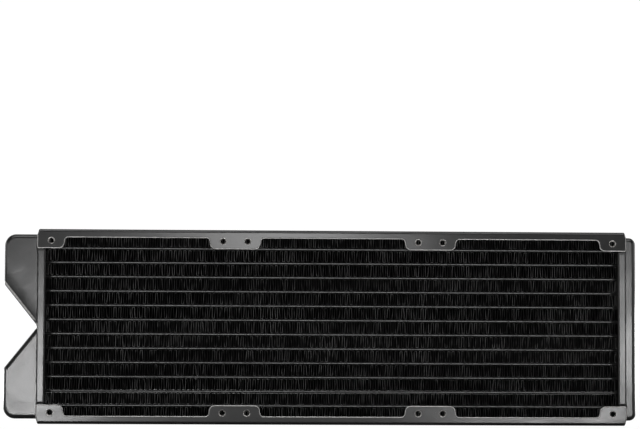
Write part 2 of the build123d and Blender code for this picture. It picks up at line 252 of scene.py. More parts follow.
def hole_distance(tree, x, z):
    """Distance from the axis of the nearest fan screw hole."""
    dz = tree.minus(z, HOLE_OFFSET * MM)
    near = None
    for hole_x in HOLE_XS:
        if hole_x < 0:
            continue  # x comes in without its sign
        dx = tree.minus(x, hole_x * MM)
        squares = tree.total(tree.times(dx, dx), tree.times(dz, dz))
        distance = tree.math("SQRT", squares)
        near = distance if near is None else tree.math("MINIMUM", near, distance)
    return near


def rail_wear_and_lip_highlight(tree, where):
    """Masks for the bare, worn entry of each tapped hole, and for a painted highlight: pale paint on
    the inward edge of each lip, standing in for the light its rounded edge catches.
    """
    x, y, z = tree.split(tree.coords())
    near = hole_distance(tree, tree.math("ABSOLUTE", x), tree.math("ABSOLUTE", z))
    scuff = tree.noise(per_mm=0.7, detail=3, rough=0.6, where=where)
    bare = tree.times(
        tree.ramp(near, start=0.00205, end=0.00222, at_start=1.0, at_end=0.0),
        tree.ramp(scuff, start=0.40, end=0.60, at_start=0.15),
    )

    _, normal_y, normal_z = tree.split(tree.normal())
    facing = tree.math("ABSOLUTE", normal_y)
    inward = tree.times(tree.math("SIGN", z), normal_z)
    off_middle = tree.math("ABSOLUTE", tree.minus(y, RAIL_MID_Y))
    from_face = tree.minus(RAIL_MID_Y, off_middle)
    patchy = tree.noise(per_mm=0.5, detail=4, rough=0.65, where=where)
    # painted highlight: pale paint on the lip edges that face the core
    lip_highlight = tree.times(
        tree.ramp(facing, start=0.25, end=0.45),
        tree.ramp(facing, start=0.985, end=0.93),
        tree.ramp(inward, start=0.25, end=0.10),
        tree.ramp(from_face, start=0.0012, end=0.0009),
        tree.ramp(near, start=0.0022, end=0.0026),
        tree.ramp(patchy, start=0.32, end=0.58, at_start=0.55),
        clamp=True,
    )
    return bare, lip_highlight


def notch_film_and_highlight(tree, where, mottle):
    """Masks for the thin, dull film above the notch's slant, and for a painted highlight: a pale line
    along the slant, in place of the light its rounded edge catches.
    """
    x, y, z = tree.split(tree.coords())
    normal_x, normal_z = SLANT_NORMAL
    along_normal = tree.total(tree.scale(x, by=normal_x), tree.scale(z, by=normal_z))
    at_slant = SLANT_POINT[0] * normal_x + SLANT_POINT[1] * normal_z
    exact = tree.total(along_normal, -at_slant)
    wavy = tree.total(exact, tree.swing(mottle, size=0.005))
    patchy = tree.noise(per_mm=0.8, detail=3, rough=0.6, where=where)
    # painted highlight along the slant's rounded edge
    slant_highlight = tree.times(
        tree.ramp(exact, start=0.0003, end=0.0006),
        tree.ramp(exact, start=0.0013, end=0.0018, at_start=1.0, at_end=0.0),
        tree.ramp(z, start=0.003, end=0.005),
        tree.ramp(y, start=0.0045, end=0.0055, at_start=1.0, at_end=0.0),
        tree.ramp(patchy, start=0.30, end=0.55, at_start=0.55),
    )
    thin = tree.times(
        tree.ramp(wavy, start=0.0095, end=0.0020, smooth=True),
        tree.ramp(z, start=0.001, end=0.006, smooth=True),
        tree.invert(slant_highlight),
    )
    return thin, slant_highlight


def black_paint(
    name,
    base=0.011,
    rough=0.30,
    coat=1.0,
    peel=0.9,
    dents=1.0,
    dust=0.35,
    wear=0.5,
    stretch=(1, 1, 1),
    shift=(0.0, 0.0, 0.0),
    tapped=False,
    notched=False,
):
    """Sprayed semi-gloss black: orange peel, slow dents in the sheet, fine specks, edges
    where the film is thin and rubbed, and a little dust that dulls it in patches. With tapped
    or notched it also paints highlights: pale lines on the lips' inward edges and along the
    notch's slant."""
    tree = Tree(name)
    where = tree.coords(shift=shift)
    patches = tree.noise(per_mm=0.030, detail=3, rough=0.55, where=where)
    mottle = tree.noise(per_mm=0.22, detail=3, rough=0.6, where=where)
    grain = tree.noise(per_mm=3.2, detail=2, rough=0.6, where=where)
    orange = tree.noise(per_mm=0.85, detail=2, rough=0.45, where=where)
    stretched = tree.coords(stretch=stretch, shift=shift)
    slow = tree.noise(per_mm=0.035, detail=2, rough=0.4, where=stretched)
    specks = tree.noise(per_mm=1.9, detail=1, rough=0.5, where=where)
    speck = tree.ramp(specks, start=0.70, end=0.76)
    edge = tree.edge(radius=0.00035)
    breaks = tree.noise(per_mm=0.9, detail=4, rough=0.7, where=where)
    broken = tree.ramp(breaks, start=0.45, end=0.62)
    worn = tree.times(edge, broken, wear, clamp=True)
    bare = 0.0
    if tapped:
        bare, lip_highlight = rail_wear_and_lip_highlight(tree, where)
        worn = tree.math("MAXIMUM", worn, bare, clamp=True)
    dusty = tree.scale(tree.ramp(patches, start=0.42, end=0.68, smooth=True), by=dust)

    colour = tree.mottled(mottle, dark=base * 0.8, light=base * 1.25)
    colour = tree.mix(colour, over=grey(base * 2.6), share=tree.scale(dusty, by=0.35))
    colour = tree.mix(colour, over=grey(0.06), share=tree.scale(speck, by=0.25))
    colour = tree.mix(colour, over=grey(0.085, tint=(1.0, 0.97, 0.92)), share=worn)
    colour = tree.mix(colour, over=grey(0.70, tint=(1.0, 0.97, 0.94)), share=bare)
    if tapped:
        # painted highlight on the lips' inward edges, in place of the light they catch
        colour = tree.mix(colour, over=grey(0.50, tint=(1.0, 0.98, 0.96)), share=lip_highlight)

    roughness = tree.total(
        tree.swing(mottle, size=0.10),
        tree.swing(grain, size=0.10),
        tree.scale(dusty, by=0.10),
        tree.scale(worn, by=0.12),
        base=rough,
        clamp=True,
    )
    specular = 0.5
    if notched:
        thin, slant_highlight = notch_film_and_highlight(tree, where, mottle)
        # painted highlight: a pale line along the notch's slant
        colour = tree.mix(colour, over=grey(0.72, tint=(1.0, 0.98, 0.96)), share=slant_highlight)
        roughness = tree.total(roughness, tree.scale(thin, by=0.14), clamp=True)
        coat = tree.scale(tree.invert(tree.scale(thin, by=0.8)), by=coat)
        specular = tree.scale(tree.invert(tree.scale(thin, by=0.5)), by=specular)

    normal = tree.bump(slow, distance=0.00030 * dents)
    normal = tree.bump(mottle, distance=0.000014 * peel, over=normal)
    normal = tree.bump(orange, distance=0.000007 * peel, over=normal)
    normal = tree.bump(grain, distance=0.0000014, over=normal)
    return tree.finish(tree.shader(
        "BsdfPrincipled",
        Base_Color=colour,
        Roughness=roughness,
        Metallic=bare,
        Specular_IOR_Level=specular,
        Coat_Weight=coat,
        Coat_Roughness=0.15,
        Coat_IOR=1.5,
        Normal=normal,
        Coat_Normal=normal,
    ))


TANK_LOOK = dict(base=0.012, rough=0.32, shift=(0.0, 0.01, 0.07))

paint_rail = black_paint(
    "paint_rail", tapped=True, stretch=(0.5, 1, 1.6), dents=0.7, peel=0.18, shift=(0.03, 0, 0)
)
paint_tank = black_paint("paint_tank", peel=0.8, **TANK_LOOK)
paint_port_tank = black_paint("paint_port_tank", peel=1.6, notched=True, **TANK_LOOK)
paint_tray = black_paint(
    "paint_tray", base=0.013, rough=0.33, dents=0.6, peel=0.6, shift=(0.2, 0.0, 0.03)
)
paint_core_plate = black_paint("paint_core_plate", base=0.008, rough=0.45, coat=0.1, dents=0.4)
paint_boss = black_paint("paint_boss", base=0.012, rough=0.30, dents=0.2, wear=0.8)
# painted highlight: the loose fin ends are painted much paler than the rest, in place of the light
# they catch
fin_end_highlight = black_paint(
    "fin_end_painted_highlight", base=0.16, rough=0.34, coat=0.5, dents=0.1, dust=0.1
)


# ---------------------------------------------------------------------------------------
# core and thread materials (metres)
# ---------------------------------------------------------------------------------------
TUBE_DULL_X = (0.1712, 0.1738)  # the tubes turn dull between these distances from x = 0
FIN_EDGES_Y = (0.0043, 0.0237)  # front and back edges of the fins
LOUVRE_PITCH = 1.1              # mm


def tube_paint():
    """Thin black film over drawn brass tube: solder runs make the nose slightly lumpy. The ends
    by the trays are made dull, a painted shade for the tray rims' shadow, done through the gloss."""
    tree = Tree("paint_tube")
    lumps = tree.noise(per_mm=0.45, where=tree.coords(stretch=(1.0, 0.25, 0.25)))
    fine = tree.noise(per_mm=1.6, rough=0.55, where=tree.coords(stretch=(1.0, 0.4, 0.4)))
    mottle = tree.noise(per_mm=0.12, detail=3, rough=0.6)
    breaks = tree.noise(
        per_mm=0.62, detail=3, rough=0.65, where=tree.coords(stretch=(1.0, 0.2, 0.35))
    )
    broken = tree.ramp(breaks, start=0.40, end=0.54)
    thin = tree.ramp(tree.noise(per_mm=0.5, detail=4, rough=0.65), start=0.62, end=0.80)
    x, _, _ = tree.split(tree.coords())
    out = tree.total(tree.math("ABSOLUTE", x), tree.swing(mottle, size=0.006))
    # painted shade: the tube ends lose their gloss where the tray rims would shade them
    dulled_for_rim_shade = tree.ramp(out, start=TUBE_DULL_X[0], end=TUBE_DULL_X[1], smooth=True)
    gloss = tree.invert(dulled_for_rim_shade)

    colour = tree.mottled(mottle, dark=0.008, light=0.016)
    film = grey(0.05, tint=(1.0, 0.95, 0.86))
    colour = tree.mix(colour, over=film, share=tree.scale(thin, by=0.25))
    normal = tree.bump(lumps, distance=0.00006)
    normal = tree.bump(fine, distance=0.000012, over=normal)
    return tree.finish(tree.shader(
        "BsdfPrincipled",
        Base_Color=colour,
        Roughness=tree.total(
            tree.scale(tree.invert(broken), by=0.16), tree.scale(dulled_for_rim_shade, by=0.4), base=0.10
        ),
        Specular_IOR_Level=tree.total(tree.scale(gloss, by=0.7), base=0.1),
        Coat_Weight=tree.times(gloss, tree.mix_values(under=0.12, over=1.0, share=broken)),
        Coat_Roughness=0.08,
        Normal=normal,
        Coat_Normal=normal,
    ))


def fin_paint():
    """Paint on thin copper fin, glossier at the front and back edges than inside. Some legs' cut
    edges there are also paler: a painted highlight.
    """
    tree = Tree("paint_fin")
    _, y, _ = tree.split(tree.node("TexCoord").outputs["Object"])
    # louvre rows across the fin's depth, drawn as fine ridges
    saw = tree.math("FRACT", tree.scale(y, by=1000 / LOUVRE_PITCH))
    ridge = tree.math("ABSOLUTE", tree.minus(saw, 0.5))
    mottle = tree.noise(per_mm=0.35, detail=3, rough=0.6)
    fine = tree.noise(per_mm=2.2, rough=0.6)
    patch = tree.noise(per_mm=0.06, detail=3, rough=0.6)
    front, back = FIN_EDGES_Y
    depth = tree.math("MINIMUM", tree.minus(y, front), tree.minus(back, y))
    inside = tree.ramp(depth, start=0.0001, end=0.0009, smooth=True)
    # painted highlight: some legs get a pale, shiny cut edge, others stay dull
    legs = tree.noise(per_mm=0.42, detail=1, where=tree.coords(stretch=(1.0, 0.3, 0.35)))
    shiny = tree.ramp(legs, start=0.44, end=0.60, at_start=0.12)
    lit = tree.times(
        tree.invert(inside), tree.ramp(patch, start=0.35, end=0.62, at_start=0.45), shiny
    )

    colour = tree.mottled(mottle, dark=0.004, light=0.009)
    # pale colour for the painted highlight on the cut edges
    film = grey(0.085, tint=(1.0, 0.97, 0.93))
    colour = tree.mix(colour, over=film, share=tree.scale(lit, by=0.9))
    roughness = tree.total(tree.swing(fine, size=0.2), tree.scale(inside, by=0.22), base=0.30)
    normal = tree.bump(ridge, distance=0.00010)
    normal = tree.bump(fine, distance=0.00002, over=normal)
    return tree.finish(tree.shader(
        "BsdfPrincipled",
        Base_Color=colour,
        Roughness=roughness,
        Specular_IOR_Level=tree.total(tree.scale(lit, by=0.92), base=0.08),
        Normal=normal,
    ))


def bare_brass():
    """Cut brass in the thread, with fine turning lines and some tarnish."""
    tree = Tree("brass_thread")
    tarnish = tree.ramp(tree.noise(per_mm=0.5, detail=4, rough=0.65), start=0.4, end=0.7)
    lines = tree.noise(per_mm=4.0, detail=1, where=tree.coords(stretch=(0.3, 5.0, 0.3)))
    bright, dark = (0.62, 0.42, 0.16, 1), (0.30, 0.19, 0.07, 1)
    return tree.finish(tree.shader(
        "BsdfPrincipled",
        Base_Color=tree.mix(bright, over=dark, share=tarnish),
        Metallic=1.0,
        Roughness=tree.total(tree.scale(tarnish, by=0.22), base=0.24),
        Normal=tree.bump(lines, distance=0.00001),
    ))


paint_tube = tube_paint()
paint_fin = fin_paint()
brass = bare_brass()

PAINT_BY_PREFIX = {
    "rail_": paint_rail,
    "header_": paint_tray,
    "flat_tube_": paint_tube,
    "fin_": paint_fin,
    "core_side_plate": paint_core_plate,
    "port_boss": paint_boss,
}


def paint_for(name):
    if name == "port_tank":
        return paint_port_tank
    for prefix, paint in PAINT_BY_PREFIX.items():
        if name.startswith(prefix):
            return paint
    return paint_tank


for name in nodes:
    for material_slot in nodes[name].material_slots:
        material_slot.material = paint_for(name)


# ---------------------------------------------------------------------------------------
# mesh helpers
# ---------------------------------------------------------------------------------------
def mesh_object(name, vertices, quads, materials, smooth=True, material_index=None, sharp=None):
    """An object from vertices in mm; sharp is the angle in degrees above which edges split."""
    mesh = bpy.data.meshes.new(name)
    vertices = (np.asarray(vertices) * MM).astype(np.float32)
    mesh.vertices.add(len(vertices))
    mesh.vertices.foreach_set("co", vertices.ravel())
    quads = np.asarray(quads, np.int32)
    mesh.loops.add(quads.size)
    mesh.loops.foreach_set("vertex_index", quads.ravel())
    mesh.polygons.add(len(quads))
    mesh.polygons.foreach_set("loop_start", np.arange(0, quads.size, 4, dtype=np.int32))
    mesh.polygons.foreach_set("loop_total", np.full(len(quads), 4, np.int32))
    mesh.polygons.foreach_set("use_smooth", np.full(len(quads), smooth))
    if material_index is not None:
        mesh.polygons.foreach_set("material_index", np.asarray(material_index, np.int32))
    mesh.update(calc_edges=True)
    mesh.validate()
    for material in materials:
        mesh.materials.append(material)
    if sharp is not None:
        mesh.set_sharp_from_angle(angle=math.radians(sharp))
    piece = bpy.data.objects.new(name, mesh)
    bpy.context.scene.collection.objects.link(piece)
    return piece


def attach(piece, replaces=None):
    if replaces:
        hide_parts(replaces)
    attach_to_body(piece, "root")


def line_normals(line):
    """Unit normals of a line of (x, z) points."""
    along = np.gradient(line, axis=0)
    along /= np.maximum(np.linalg.norm(along, axis=1), 1e-6)[:, None]
    return np.stack([-along[:, 1], along[:, 0]], 1)


def sheet_row(line, offset, y):
    """Both faces of a thin sheet at one depth: the line pushed out either way by offset."""
    faces = (line + offset, line - offset)
    return np.concatenate([np.stack([face[:, 0], y, face[:, 1]], 1) for face in faces])


def sheet_quads(n, rows):
    """Closes a sheet made of sheet_row rows, each n points long."""
    i = np.arange(n - 1)
    quads = []
    for k in range(rows - 1):
        o, p = k * 2 * n, (k + 1) * 2 * n
        quads.append(np.stack([o + i, o + i + 1, p + i + 1, p + i], 1))
        quads.append(np.stack([o + n + i, p + n + i, p + n + i + 1, o + n + i + 1], 1))
        for end in (0, n - 1):
            cap = [o + end, p + end, p + n + end, o + n + end]
            quads.append(np.array([cap if end == 0 else cap[::-1]]))
    p = (rows - 1) * 2 * n
    quads.append(np.stack([i, n + i, n + i + 1, i + 1], 1))
    quads.append(np.stack([p + i, p + i + 1, p + n + i + 1, p + n + i], 1))
    return np.concatenate(quads)


# ---------------------------------------------------------------------------------------
# fins: one folded strip per CAD strip, with round crests, slightly uneven folds, and the
# shallow ruffle across the depth that stiffens the sheet and closes the straight view
# ---------------------------------------------------------------------------------------
FIN_STRIPS = 13
FOLD_PITCH = 1.475      # from one crest to the next, on the other side
FOLDS = 238
CRESTS = FOLDS + 1
CREST_RADIUS = 0.66
CREST_STEPS = 4
CREST_POWERS = 0.6, 0.5  # in x and z; below 1 they square the crests off
FIN_SHEET = 0.12
FIN_GAP = 0.01          # between the crests and the CAD strip's top and bottom
FIN_ROWS = 17           # across the depth
FIN_SETBACK = 0.30      # from the CAD strip's front and back
RUFFLE = 1.12
RUFFLE_LENGTH = 12.5
RUFFLE_THICKENING = 0.8
EDGE_BUILD_UP = 1.25    # paint builds up on the cut edges
EDGE_REACH = 1.6        # how deep a knock on an edge is felt
FIN_END = 175.45        # the last folds are squeezed up against the tray
SQUEEZE = 1.1           # over this length
rng = np.random.RandomState(20)


def scatter(size, low, high):
    """One random value per crest."""
    return rng.normal(0, size, CRESTS).clip(low, high)


def wander(step, size):
    """A slow random value along the strip, step folds between its knots."""
    knots = rng.normal(0, size, CRESTS // step + 3)
    return np.interp(np.arange(CRESTS), np.arange(len(knots)) * step, knots)


def fold_points():
    """Crest number, turn round the crest and side (1 is up) of each point along a strip.
    A point half way down each leg, so it can bow, has a half number and no turn."""
    points = []
    for i in range(CRESTS):
        side = -1 if i % 2 == 0 else 1
        for k in range(CREST_STEPS + 1):
            points.append((i, math.pi * (1 - k / CREST_STEPS), side))
        if i < FOLDS:
            points.append((i + 0.5, np.nan, side))
    return np.array(points).T


def fin_strip(name, z_low, z_high, y_front, y_back):
    z_centre = (z_low + z_high) / 2
    reach = (z_high - z_low) / 2 - FIN_GAP - FIN_SHEET / 2
    crest, turn, side = fold_points()
    here = crest.astype(int)
    following = np.minimum(here + 1, CRESTS - 1)
    leg = np.isnan(turn)
    turn = np.nan_to_num(turn)
    power_x, power_z = CREST_POWERS
    across = np.sign(np.cos(turn)) * np.abs(np.cos(turn)) ** power_x
    along = np.abs(np.sin(turn)) ** power_z
    z = np.where(leg, 0.0, side * (reach - CREST_RADIUS + CREST_RADIUS * along))
    ys = np.linspace(y_front + FIN_SETBACK, y_back - FIN_SETBACK, FIN_ROWS)

    # unevenness, crest by crest
    jitter = (rng.normal(0, 0.10, CRESTS) + wander(step=7, size=0.13)).clip(-0.30, 0.30)
    jitter[0] = jitter[-1] = 0
    bow = scatter(size=0.06, low=-0.16, high=0.16)
    radius = CREST_RADIUS * (1 + scatter(size=0.07, low=-0.16, high=0.12))
    nudge = scatter(size=0.10, low=-0.2, high=0.2) * (rng.rand(CRESTS) < 0.6)
    bent = (rng.rand(CRESTS) < 0.06) * rng.uniform(-0.40, 0.40, CRESTS)
    dent = rng.uniform(-0.10, 0.16, CRESTS)
    phase = rng.uniform(0, 2 * math.pi)

    rows = []
    for y in ys:
        # 1 at the front edge, -1 at the back edge, 0 well inside
        near = math.exp(-((y - ys[0]) / EDGE_REACH) ** 2)
        near -= math.exp(-((y - ys[-1]) / EDGE_REACH) ** 2)
        centre = -FOLDS * FOLD_PITCH / 2 + np.arange(CRESTS) * FOLD_PITCH + jitter
        centre = centre + nudge * near
        leg_from = centre[here] + radius[here]
        leg_to = centre[following] - radius[following]
        leg_x = (leg_from + leg_to) / 2 + bow[here] + bent[here] * abs(near)
        x = np.where(leg, leg_x, centre[here] + radius[here] * across)
        angle = 2 * math.pi * (y - ys[0]) / RUFFLE_LENGTH + phase
        x = x + RUFFLE * math.sin(angle)
        over = np.maximum(np.abs(x) - (FIN_END - SQUEEZE), 0.0)
        squeezed = np.sign(x) * (FIN_END - SQUEEZE * np.exp(-over / SQUEEZE))
        x = np.where(over > 0, squeezed, x)
        line = np.stack([x, z], 1)

        # the sheet is thicker in x where the ruffle turns it away from the depth
        slope = RUFFLE * 2 * math.pi / RUFFLE_LENGTH * math.cos(angle)
        half_sheet = FIN_SHEET / 2 * math.sqrt(1 + slope * slope * RUFFLE_THICKENING)
        if y in (ys[0], ys[-1]):
            half_sheet *= EDGE_BUILD_UP
        row_y = np.full(len(line), y)
        if y == ys[0]:
            row_y = row_y + np.interp(crest, np.arange(CRESTS), dent)
        row = sheet_row(line, line_normals(line) * half_sheet, row_y)
        row[:, 2] = row[:, 2].clip(-reach - half_sheet, reach + half_sheet) + z_centre
        rows.append(row)
    quads = sheet_quads(len(crest), FIN_ROWS)
    return mesh_object(name, np.concatenate(rows), quads, [paint_fin], sharp=55)


for i in range(1, FIN_STRIPS + 1):
    cad = f"fin_strip_{i:02d}"
    low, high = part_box(cad)
    piece = fin_strip(
        f"folded_fin_{i:02d}", low.z * 1000, high.z * 1000, low.y * 1000, high.y * 1000
    )
    attach(piece, replaces=cad)


# ---------------------------------------------------------------------------------------
# a few loose fin ends, bent over beside the trays
# ---------------------------------------------------------------------------------------
LEAF_SHEET = 0.13
LEAF_POINTS = 15
LEAF_ROWS = 4
LEAF_RAGGED = 0.10   # swing of the front edge
LEAF_IN_FRONT = 0.15
LEAF_DEPTH = 2.6     # behind the fins' front
FIN_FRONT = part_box("fin_strip_07")[0].y * 1000

# (x, z) corners of each leaf, from the top down
LEAVES = (
    ((-174.9, -41.2), (-174.0, -42.6), (-173.9, -44.6), (-175.3, -46.4)),
    ((-174.6, 12.3), (-174.1, 10.4), (-174.0, 8.6), (-174.7, 7.3)),
    ((-174.9, 3.0), (-174.3, 1.6), (-174.2, -0.2), (-174.6, -1.6)),
    ((174.8, -15.4), (174.2, -17.0), (174.3, -19.6), (174.9, -21.0)),
)


def end_leaf(name, corners):
    share = np.linspace(0, 1, LEAF_POINTS)
    knots = np.linspace(0, 1, len(corners))
    line = np.stack([np.interp(share, knots, column) for column in zip(*corners)], 1)
    for _ in range(3):  # round the corners off
        line[1:-1] = (line[:-2] + 2 * line[1:-1] + line[2:]) / 4
    offset = line_normals(line) * LEAF_SHEET / 2
    ragged = LEAF_RAGGED * np.sin(9 * share + corners[0][1])
    rows = []
    for k, y in enumerate(
        np.linspace(FIN_FRONT - LEAF_IN_FRONT, FIN_FRONT + LEAF_DEPTH, LEAF_ROWS)
    ):
        row_y = np.full(LEAF_POINTS, y)
        rows.append(sheet_row(line, offset, row_y + ragged if k == 0 else row_y))
    quads = sheet_quads(LEAF_POINTS, LEAF_ROWS)
    # pale paint: a painted highlight
    return mesh_object(name, np.concatenate(rows), quads, [fin_end_highlight], sharp=50)


for i, corners in enumerate(LEAVES, 1):
    attach(end_leaf(f"loose_fin_end_{i}", corners))


# ---------------------------------------------------------------------------------------
# ports: turned bosses with a cut G1/4 thread
# ---------------------------------------------------------------------------------------
PORT_PITCH = 1.337
MINOR, MAJOR = 5.72, 6.50  # thread radii
MOUTH = MINOR + 0.95       # radius of the lead-in at the mouth
SPIGOT_RADIUS = 7.6
WALL_Y = 26.0              # the tank's back wall
BOSS_AROUND = 96
THREAD_ROWS = 84
CREST_FLAT, FLANK = 0.12, 0.74  # shares of half a pitch
FLANK_ROUNDING = 0.35


def thread_radius(y, angle, y_mouth):
    phase = (y / PORT_PITCH - angle / (2 * math.pi)) % 1.0
    from_crest = abs(phase - 0.5) * 2  # 1 at the valley, 0 at the crest
    depth = min(1.0, max(0.0, (from_crest - CREST_FLAT) / FLANK))
    rounded = depth * depth * (3 - 2 * depth)
    depth = rounded * FLANK_ROUNDING + depth * (1 - FLANK_ROUNDING)
    lead_in = MOUTH - (y_mouth - y)  # 45 degrees
    return max(MINOR + (MAJOR - MINOR) * depth, lead_in)


def port_boss(name, x, z, y_in, y_out, flange):
    """A boss on the axis (x, z), from its inner end y_in to its mouth y_out."""
    angles = np.linspace(0, 2 * math.pi, BOSS_AROUND, endpoint=False)
    # radius, y and material (0 paint, 1 brass), from the mouth's inner lip over the
    # flange and down the spigot
    profile = [
        (MOUTH, y_out, 0),
        (MINOR + 1.05, y_out, 0),
        (flange - 0.55, y_out, 0),
        (flange - 0.25, y_out - 0.06, 0),
        (flange - 0.06, y_out - 0.25, 0),
        (flange, y_out - 0.55, 0),
        (flange, WALL_Y + 0.05, 0),
        (flange - 0.03, WALL_Y + 0.02, 0),
        (SPIGOT_RADIUS, WALL_Y + 0.02, 0),
        (SPIGOT_RADIUS, y_in + 0.3, 0),
        (SPIGOT_RADIUS - 0.3, y_in, 0),
        (MINOR + 0.3, y_in, 1),
    ]
    rings = [([radius] * BOSS_AROUND, y, material) for radius, y, material in profile]
    # the thread, from the inner end out to the mouth
    y_start, y_mouth = y_in + 0.35, y_out - 0.02
    for k in range(THREAD_ROWS + 1):
        y = y_start + (y_mouth - y_start) * k / THREAD_ROWS
        rings.append(([thread_radius(y, angle, y_mouth) for angle in angles], y, 1))

    vertices = [
        (x + radius * math.cos(angle), y, z + radius * math.sin(angle))
        for radii, y, _ in rings
        for angle, radius in zip(angles, radii)
    ]
    quads, index = [], []
    j = np.arange(BOSS_AROUND)
    j_next = (j + 1) % BOSS_AROUND
    for k, (_, _, material) in enumerate(rings):
        o, p = k * BOSS_AROUND, (k + 1) % len(rings) * BOSS_AROUND
        quads.append(np.stack([o + j, o + j_next, p + j_next, p + j], 1))
        index += [material] * BOSS_AROUND
    return mesh_object(
        name, vertices, np.concatenate(quads), [paint_boss, brass],
        material_index=index, sharp=38,
    )


for cad in ("port_boss_upper", "port_boss_lower"):
    low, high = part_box(cad)
    centre = (low + high) / 2 * 1000
    piece = port_boss(
        "threaded_" + cad, centre.x, centre.z, low.y * 1000, high.y * 1000,
        flange=(high.x - low.x) * 500,
    )
    attach(piece, replaces=cad)


# ---------------------------------------------------------------------------------------
# M4 threads in the fan holes: one helical ridge per hole
# ---------------------------------------------------------------------------------------
SCREW_PITCH = 0.7
SCREW_SEGMENTS = 28      # per turn
HOLE_WALL = 1.65
SCREW_CREST = 1.45
CREST_HALF_WIDTH = 0.07
ROOT_HALF_WIDTH = 0.42 * SCREW_PITCH
ROOT_RADIUS = HOLE_WALL + 0.04   # sunk in the wall
FADED_RADIUS = HOLE_WALL + 0.02  # the crest sinks to this at both ends
FADE_TURNS = 0.4


def helix_ridges(name, y_from, y_to):
    turns = (y_to - y_from) / SCREW_PITCH
    count = int(SCREW_SEGMENTS * turns)
    fade_steps = SCREW_SEGMENTS * FADE_TURNS
    vertices, quads = [], []
    for hole_x in HOLE_XS:
        for hole_z in (-HOLE_OFFSET, HOLE_OFFSET):
            base = len(vertices)
            for k in range(count + 1):
                angle = 2 * math.pi * k / SCREW_SEGMENTS
                y = y_from + SCREW_PITCH * k / SCREW_SEGMENTS
                fade = min(1.0, k / fade_steps, (count - k) / fade_steps)
                crest = FADED_RADIUS + (SCREW_CREST - FADED_RADIUS) * fade
                for radius, dy in (
                    (ROOT_RADIUS, -ROOT_HALF_WIDTH),
                    (crest, -CREST_HALF_WIDTH),
                    (crest, CREST_HALF_WIDTH),
                    (ROOT_RADIUS, ROOT_HALF_WIDTH),
                ):
                    x = hole_x + radius * math.cos(angle)
                    vertices.append((x, y + dy, hole_z + radius * math.sin(angle)))
            for k in range(count):
                for q in range(4):
                    a, b = base + k * 4 + q, base + k * 4 + (q + 1) % 4
                    quads.append((a, b, b + 4, a + 4))
            quads.append((base, base + 3, base + 2, base + 1))
            end = base + count * 4
            quads.append((end, end + 1, end + 2, end + 3))
    return mesh_object(name, vertices, quads, [paint_rail], sharp=45)


attach(helix_ridges("fan_threads_front", y_from=0.75, y_to=2.35))
attach(helix_ridges("fan_threads_back", y_from=25.65, y_to=27.25))


# ---------------------------------------------------------------------------------------
# solder seams: an uneven bead where each tank sits against its header tray
# ---------------------------------------------------------------------------------------
SEAM_X = 180.55
SEAM_HALF = 53.0      # in z
SEAM_STEP = 0.5
SEAM_KNOTS = 90
SEAM_AROUND = 10
SEAM_SECTION = 1.25, 0.8  # half width in x and in y, as shares of the bead's size
RAY_START_Y = {-1: -0.02, 1: 0.05}  # metres, clear of the front and back faces
# blobs near the ends: z, greatest size, length
BLOBS = ((48.5, 0.55, 2.6), (-47.5, 0.40, 2.2))


def surface_y(body, x, z, side):
    """The tank's outermost y in mm at (x, z), seen from the front (-1) or the back (1)."""
    to_local = body.matrix_world.inverted()
    start = to_local @ Vector((x * MM, RAY_START_Y[side], z * MM))
    heading = to_local.to_3x3() @ Vector((0, -side, 0))
    hit, where, _, _ = body.ray_cast(start, heading)
    return (body.matrix_world @ where).y / MM if hit else None


def bead_quads(base, count):
    last = base + (count - 1) * SEAM_AROUND
    quads = []
    for ring in range(base, last, SEAM_AROUND):
        for k in range(SEAM_AROUND):
            a, b = ring + k, ring + (k + 1) % SEAM_AROUND
            quads.append((a, b, b + SEAM_AROUND, a + SEAM_AROUND))
    for first, order in ((base, -1), (last, 1)):
        for k in range(SEAM_AROUND // 2 - 1):
            far = first + SEAM_AROUND - k
            quads.append((first + k, first + k + 1, far - 2, far - 1)[::order])
    return quads


def solder_seam(name, cad, x, seed):
    """Follows the tank's own surface, front and back, just outside the tray."""
    random = np.random.RandomState(seed)
    zs = np.arange(-SEAM_HALF, SEAM_HALF + 0.01, SEAM_STEP)
    knot_zs = np.linspace(-SEAM_HALF, SEAM_HALF, SEAM_KNOTS)
    knots = random.uniform(0, 1, SEAM_KNOTS) ** 2
    section_x, section_y = SEAM_SECTION
    vertices, quads = [], []
    for side in (-1, 1):
        sizes = 0.30 + 0.34 * np.interp(zs, knot_zs, np.roll(knots, 11 * side))
        for blob_z, blob_size, length in BLOBS:
            bulge = np.exp(-(((zs - blob_z) / length) ** 2))
            sizes = sizes + blob_size * random.uniform(0.2, 1.0) * bulge
        sizes = sizes * np.clip((SEAM_HALF + 0.4 - np.abs(zs)) / 1.2, 0.15, 1.0)
        path = [(z, surface_y(nodes[cad], x, z, side), size) for z, size in zip(zs, sizes)]
        path = [station for station in path if station[1] is not None]
        if len(path) < 8:
            continue
        base = len(vertices)
        for z, y, size in path:
            for k in range(SEAM_AROUND):
                angle = 2 * math.pi * k / SEAM_AROUND
                bead_x = x + size * section_x * math.cos(angle)
                vertices.append((bead_x, y + size * section_y * math.sin(angle), z))
        quads += bead_quads(base, len(path))
    attach(mesh_object(name, vertices, quads, [paint_tank]))


solder_seam("solder_seam_port_side", "port_tank", -SEAM_X, seed=5)
solder_seam("solder_seam_return_side", "return_tank", SEAM_X, seed=6)


# ---------------------------------------------------------------------------------------
# floor and world
# ---------------------------------------------------------------------------------------
FLOOR_HALF = 9000.0  # mm


def pale_floor():
    """Matt for reflections and shadows, nearly pure white to the camera."""
    tree = Tree("pale_floor")
    colour = tree.mix(grey(0.84), over=grey(0.87), share=tree.noise(per_mm=0.004))
    matt = tree.shader(
        "BsdfPrincipled", Base_Color=colour, Roughness=0.9, Specular_IOR_Level=0.1
    )
    glow = tree.shader("Emission", Color=(1, 1, 1, 1), Strength=1.03)
    share = tree.scale(tree.node("LightPath").outputs["Is Camera Ray"], by=0.97)
    mixer = tree.node("MixShader")
    for socket, value in zip(mixer.inputs, (share, matt, glow)):
        tree.put(socket, value)
    return tree.finish(mixer.outputs[0])


